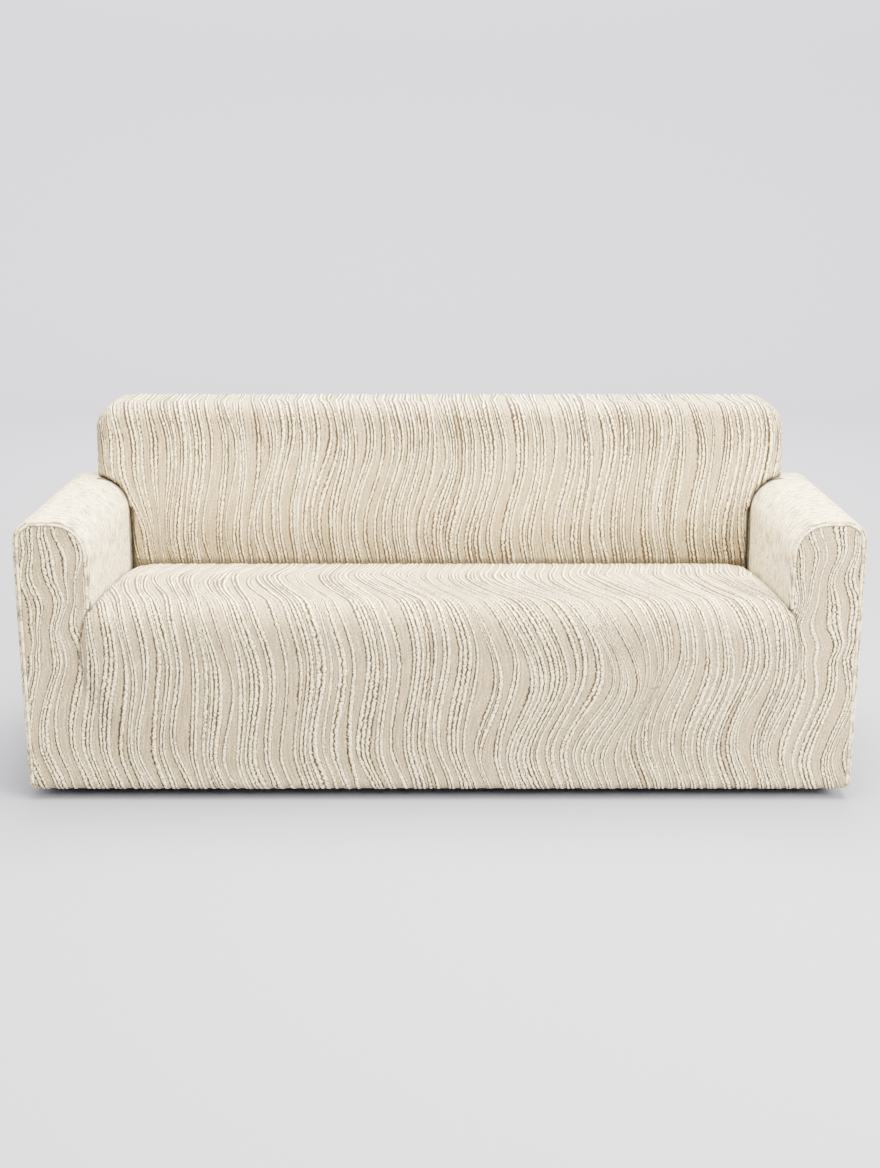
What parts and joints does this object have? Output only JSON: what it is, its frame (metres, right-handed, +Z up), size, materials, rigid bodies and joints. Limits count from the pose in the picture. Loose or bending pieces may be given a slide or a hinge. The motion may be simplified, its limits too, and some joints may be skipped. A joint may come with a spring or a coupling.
{
  "type": "fitted stretch slipcover for a three-seat sofa",
  "caption": "Fitted stretch cover shaped to a sofa with arms: seat and apron in one sheet, banded arms edged with welt, wrapped backrest, flat rear panel and a plain hem, hollow and open below.",
  "frame": {"origin": "middle of the cover's base, on the level of the hem", "axes": "+X to the right as seen from in front of the sofa, -Y out of the front of the seat, +Z up"},
  "size_m": [1.938, 0.753, 0.839],
  "materials": {
    "front_seat": "soft ribbed stretch knit, matt",
    "arm_band_right": "soft ribbed stretch knit, pulled smooth, matt",
    "arm_band_left": "soft ribbed stretch knit, pulled smooth, matt",
    "welt_right": "rolled welt of the same cloth",
    "welt_left": "rolled welt of the same cloth",
    "inside_back": "soft ribbed stretch knit, matt",
    "outside_back": "soft ribbed stretch knit, matt"
  },
  "bodies": {
    "root": {"front_seat": "front_seat", "arm_band_right": "arm_band_right", "arm_band_left": "arm_band_left", "welt_right": "welt_right", "welt_left": "welt_left", "inside_back": "inside_back", "outside_back": "outside_back"}
  },
  "joints": []
}
